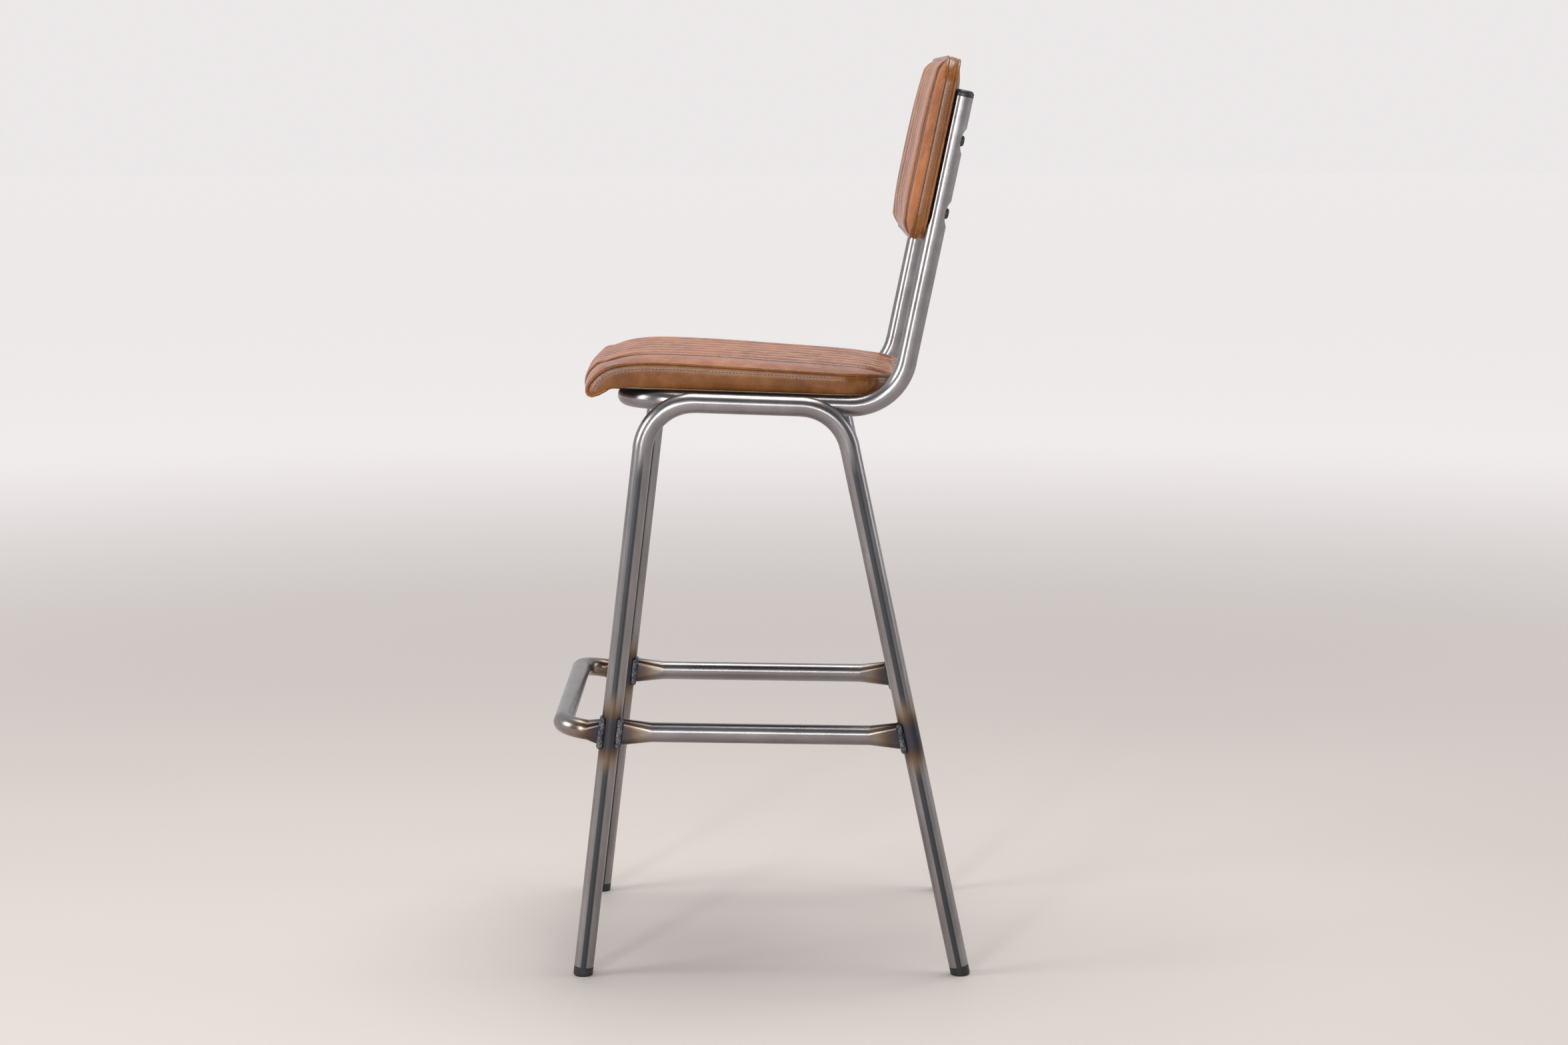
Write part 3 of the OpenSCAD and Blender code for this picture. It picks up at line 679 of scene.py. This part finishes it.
# %% Bare steel
def steel(name, seam=None, heat=(), along=(60, 60, 4)):
    make = Maker(name)
    place = make.place()
    haze = make.noise(make.stretch(place, along), 3.0, 3, 0.5)
    patch = make.noise(place, 12.0, 3, 0.55)
    fine = make.noise(place, 900.0, 2, 0.5)
    tone = make.mix(haze.step(0.3, 0.75), (0.25, 0.238, 0.242), (0.325, 0.312, 0.318))
    tone = make.mix(patch.step(0.45, 0.75) * 0.3, tone, (0.175, 0.165, 0.168))
    rough = haze * 0.06 + patch * 0.06 + 0.22
    parts = make.axes(place)
    if seam is not None:
        line = seam(make, parts)
        tone = make.mix(line * 0.95, tone, (0.05, 0.056, 0.062))
        rough = rough + line * 0.12
    for at, radius in heat:
        away = make.make("ShaderNodeVectorMath", {"operation": "DISTANCE"}, {0: place, 1: tuple(at)}, out=1)
        away = away + (patch - 0.5) * radius * 0.5
        tone = make.mix(away.step(radius * 2.0, radius * 1.1) * 0.6, tone, (0.25, 0.175, 0.105))
        tone = make.mix(away.step(radius * 1.35, radius * 0.75) * 0.8, tone, (0.10, 0.06, 0.042))
        tone = make.mix(away.step(radius * 0.95, radius * 0.5) * 0.8, tone, (0.045, 0.055, 0.075))
    bumps = make.bump(fine * 0.5 + haze, 0.00004, 0.35)
    return make.finish(Base_Color=tone, Metallic=1.0, Roughness=rough, Normal=bumps)

def front_y(z):
    return -249 + z * math.tan(math.radians(6.8)) + SHIFT

def rear_y(z):
    return 235 - z * math.tan(math.radians(11.9)) + SHIFT

def leg_seam(make, parts):
    """A dark line along the outer side of each leg, fading out below the top."""
    x, y, z = (part * 1000 for part in parts)
    front = (y - (z * math.tan(math.radians(6.8)) - 249 + SHIFT)).size()
    rear = (y - (z * -math.tan(math.radians(11.9)) + 235 + SHIFT)).size()
    ragged = make.noise(make.stretch(make.place(), (30, 30, 6)), 8.0, 3, 0.6)
    legs = front.low(rear)
    line = legs.step(4.6, 2.6) * z.step(690, 640)
    return line * ragged.step(0.02, 0.3)

heat_points = [(s * 0.22, (front_y(316) / 1000), 0.316) for s in (-1, 1)]
heat_points += [(s * 0.22, (rear_y(311) / 1000), 0.311) for s in (-1, 1)]
leg_steel = steel("leg_steel", leg_seam, [(p, 0.03) for p in heat_points], (14, 14, 4))
bar_steel = steel("bar_steel", None, [(p, 0.034) for p in heat_points], (14, 4, 14))
rail_steel = steel("rail_steel", None, (), (12, 8, 12))
for name in ("left_leg_frame", "right_leg_frame"):
    dress(nodes[name], leg_steel)
for name in ("left_brace", "right_brace", "footrest"):
    dress(nodes[name], bar_steel)
dress(nodes["seat_back_frame"], rail_steel)
dress(nodes["seat_tabs"], rail_steel)

# %% Weld beads, plastic and bolts
def weld_steel():
    make = Maker("weld_bead")
    place = make.place()
    ripple = make.cells(place, 420.0)
    patch = make.noise(place, 120.0, 4, 0.6)
    tone = make.mix(patch.step(0.35, 0.7), (0.06, 0.07, 0.09), (0.22, 0.21, 0.2))
    return make.finish(Base_Color=tone, Metallic=1.0, Roughness=patch * 0.3 + 0.3,
                       Normal=make.bump(patch * 2 - ripple, 0.0012, 1.0))

def moulded(name, colour, rough):
    make = Maker(name)
    place = make.place()
    grain = make.noise(place, 1500.0, 2, 0.5)
    wear = make.noise(place, 60.0, 4, 0.6)
    tone = make.mix(wear.step(0.5, 0.8), colour, tuple(c * 1.8 + 0.01 for c in colour))
    return make.finish(Base_Color=tone, Roughness=wear * 0.2 + rough, Normal=make.bump(grain, 0.00008, 0.6))

bead = weld_steel()
for name in ("footrest_welds", "brace_welds", "seat_frame_welds"):
    dress(nodes[name], bead)
plastic = moulded("black_plastic", (0.012, 0.012, 0.014), 0.3)
oxide = moulded("black_oxide", (0.02, 0.02, 0.022), 0.25)
cloth = moulded("dust_cloth", (0.012, 0.012, 0.012), 0.7)
zinc = moulded("zinc", (0.4, 0.4, 0.38), 0.3)
for name in nodes:
    if name.endswith("glide") or name.endswith("cap"):
        dress(nodes[name], plastic)
    if name.endswith("bolts"):
        dress(nodes[name], oxide)
    if name.endswith("t_nuts"):
        dress(nodes[name], zinc)
dress(nodes["seat_dust_cover"], cloth)

def plywood():
    make = Maker("plywood")
    place = make.place()
    grain = make.noise(make.stretch(place, (6, 90, 400)), 3.0, 5, 0.6)
    tone = make.mix(grain.step(0.3, 0.7), (0.20, 0.12, 0.06), (0.34, 0.22, 0.12))
    return make.finish(Base_Color=tone, Roughness=grain * 0.2 + 0.5, Normal=make.bump(grain, 0.0003))

board = plywood()
dress(nodes["seat_board"], board)
dress(nodes["back_board"], board)

# %% [markdown]
# ## Waxed leather
# The hide is a waxed tan. Its colour drifts in soft clouds, the raised grain is rubbed paler, and fine
# cracks cross the seat where it bends. Painted shade darkens the channels, a painted highlight pales the
# middle of each rib, and the leather is darker along the seams.

# %% Waxed leather
def leather(name, deep, main, pale, grooves=None, pitch=24.0, crackle=0.5, rough=0.34):
    make = Maker(name)
    place = make.place()
    x, y, z = make.axes(place)
    clouds = make.noise(place, 7.0, 4, 0.55, 0.4)
    mottle = make.noise(place, 38.0, 5, 0.65)
    pores = make.cells(place, 950.0)
    crease = make.cells(make.stretch(place, (1, 0.5, 1)), 210.0, "DISTANCE_TO_EDGE")
    worn = make.noise(place, 24.0, 3, 0.6)
    cracks = crease.step(0.10, 0.01) * worn.step(0.5, 0.68)
    tone = make.mix(clouds.step(0.3, 0.72), deep, main)
    tone = make.mix(mottle.step(0.42, 0.78) * 0.6, tone, pale)
    tone = make.mix(cracks * crackle, tone, tuple(c * 0.55 for c in deep))
    height = mottle * 0.8 - pores * 0.25 - cracks * crackle
    if grooves is not None:
        first, last = grooves[0] * MM, grooves[-1] * MM
        half = pitch * MM / 2
        off = (x - first + half).math("PINGPONG", half)
        within = x.step(first - 0.006, first - 0.003) * x.step(last + 0.006, last + 0.003)
        line = off.step(half - 0.0065, half - 0.0012) * within
        # Painted shade: each channel is darkened towards the deep colour, where shadow would fall in it.
        tone = make.mix(line * 0.88, tone, tuple(c * 0.45 for c in deep))
        # Painted highlight: the middle of each rib is paled in patches, where light would catch its crest.
        crest_highlight = off.step(half * 0.55, half * 0.1) * within
        tone = make.mix(crest_highlight * mottle.step(0.3, 0.6) * 0.55, tone, pale)
    shine = clouds * 0.1 + mottle * 0.14 + cracks * 0.15 + rough - 0.16
    return make.finish(Base_Color=tone, Roughness=shine, Normal=make.bump(height, 0.00045, 0.55),
                       Specular_IOR_Level=0.34, Coat_Weight=0.1, Coat_Roughness=0.2)

seat_hide = leather("seat_hide", (0.15, 0.036, 0.008), (0.32, 0.098, 0.030), (0.50, 0.21, 0.09),
                    SEAT_GROOVES, RIB_PITCH, 0.5, 0.3)
back_hide = leather("back_hide", (0.17, 0.045, 0.010), (0.34, 0.11, 0.032), (0.5, 0.21, 0.085),
                    BACK_GROOVES, 36.4, 0.3, 0.3)
edge_hide = leather("edge_hide", (0.11, 0.034, 0.006), (0.22, 0.076, 0.016), (0.32, 0.13, 0.036),
                    None, 24, 0.1, 0.28)
welt_hide = leather("welt_hide", (0.11, 0.032, 0.006), (0.22, 0.075, 0.016), (0.36, 0.15, 0.045),
                    None, 24, 0.1, 0.28)

def thread(name, colour):
    make = Maker(name)
    place = make.place()
    twist = make.noise(place, 2600.0, 1, 0.5)
    tone = make.mix(twist, tuple(c * 0.6 for c in colour), colour)
    return make.finish(Base_Color=tone, Roughness=0.6, Normal=make.bump(twist, 0.0001))

dark_thread = thread("dark_thread", (0.06, 0.028, 0.012))
pale_thread = thread("pale_thread", (0.42, 0.24, 0.12))
dress(cover, seat_hide)
dress(back_cover, back_hide)
for piece in (side, back_rear, band):
    dress(piece, edge_hide)
for piece in (seat_welt, front_welt, rear_welt):
    dress(piece, welt_hide)
dress(seat_thread, dark_thread)
for word in ("front", "rear"):
    dress(bpy.data.objects[f"back_{word}_thread"], pale_thread)
for word in ("right", "left"):
    dress(bpy.data.objects[f"seat_{word}_seam_thread"], pale_thread)

# %% [markdown]
# ## Studio
# A pale floor runs away past the view and glows a little far off, so that it meets the sky without
# a line. One soft window stands at the stool's front, a tall panel and a long strip near the view
# draw the bright lines along the tubes, and two weaker lamps lift the top and the rear. The sky is
# pale where the camera sees it and darker towards the unlit end of the room, which gives bare
# tubes their dark edge.

# %% Studio
def floor():
    bm = bmesh.new()
    bmesh.ops.create_grid(bm, x_segments=1, y_segments=1, size=40)
    mesh = bpy.data.meshes.new("floor")
    bm.to_mesh(mesh)
    bm.free()
    piece = bpy.data.objects.new("floor", mesh)
    bpy.context.scene.collection.objects.link(piece)
    make = Maker("floor")
    x, y, z = make.axes(make.place())
    away = (x * x + y * y) ** 0.5
    far = away.step(1.2, 6.5)
    glow = make.mix(far, (0, 0, 0), (0.53, 0.52, 0.525))
    dress(piece, make.finish(
        Base_Color=(0.6, 0.548, 0.515, 1), Roughness=0.6, Emission_Color=glow, Emission_Strength=1.0
    ))
    return piece

ground = floor()

def lamp(name, at, to, size, power, colour=(1, 1, 1)):
    light = bpy.data.lights.new(name, "AREA")
    light.shape = "RECTANGLE"
    light.size, light.size_y = size
    light.energy = power
    light.color = colour
    piece = bpy.data.objects.new(name, light)
    bpy.context.scene.collection.objects.link(piece)
    piece.location = at
    piece.rotation_euler = (Vector(to) - Vector(at)).to_track_quat("-Z", "Y").to_euler()
    return piece

lamp("window", (1.2, -3.6, 2.0), (0, 0, 0.7), (1.6, 2.0), 70, (1, 0.985, 0.965))
lamp("panel", (3.95, -1.55, 1.7), (0, 0, 0.75), (0.4, 2.4), 52, (1, 0.99, 0.98))
lamp("strip", (4.5, 0.2, 1.75), (0, 0, 0.5), (3.0, 0.5), 55, (1, 0.99, 0.98))
lamp("ceiling", (-0.4, 0.2, 3.6), (0, 0, 0.5), (1.8, 1.8), 70, (1, 0.99, 0.98))
lamp("far_side", (0.2, 3.6, 1.8), (0, 0, 0.7), (1.0, 2.2), 22, (0.96, 0.98, 1))

def sky():
    world = bpy.data.worlds.new("studio")
    bpy.context.scene.world = world
    world.use_nodes = True
    tree = world.node_tree
    tree.nodes.clear()
    out = tree.nodes.new("ShaderNodeOutputWorld")
    seen = tree.nodes.new("ShaderNodeBackground")
    lit = tree.nodes.new("ShaderNodeBackground")
    swap = tree.nodes.new("ShaderNodeMixShader")
    path = tree.nodes.new("ShaderNodeLightPath")
    where = tree.nodes.new("ShaderNodeTexCoord")
    parts = tree.nodes.new("ShaderNodeSeparateXYZ")
    ramp = tree.nodes.new("ShaderNodeValToRGB")
    half = tree.nodes.new("ShaderNodeMath")
    half.operation = "MULTIPLY_ADD"
    half.inputs[1].default_value = 0.5
    half.inputs[2].default_value = 0.5
    tree.links.new(where.outputs["Generated"], parts.inputs[0])
    tree.links.new(parts.outputs["X"], half.inputs[0])
    tree.links.new(half.outputs[0], ramp.inputs[0])
    stops = ramp.color_ramp.elements
    stops[0].position, stops[0].color = 0.3, (0.72, 0.705, 0.715, 1)
    stops[1].position, stops[1].color = 0.75, (0.16, 0.16, 0.175, 1)
    tree.links.new(ramp.outputs[0], lit.inputs["Color"])
    lit.inputs["Strength"].default_value = 0.95
    seen.inputs["Color"].default_value = (0.84, 0.81, 0.815, 1)
    seen.inputs["Strength"].default_value = 1.0
    tree.links.new(path.outputs["Is Camera Ray"], swap.inputs[0])
    tree.links.new(lit.outputs[0], swap.inputs[1])
    tree.links.new(seen.outputs[0], swap.inputs[2])
    tree.links.new(swap.outputs[0], out.inputs["Surface"])

sky()
bpy.context.scene.view_settings.view_transform = "Standard"
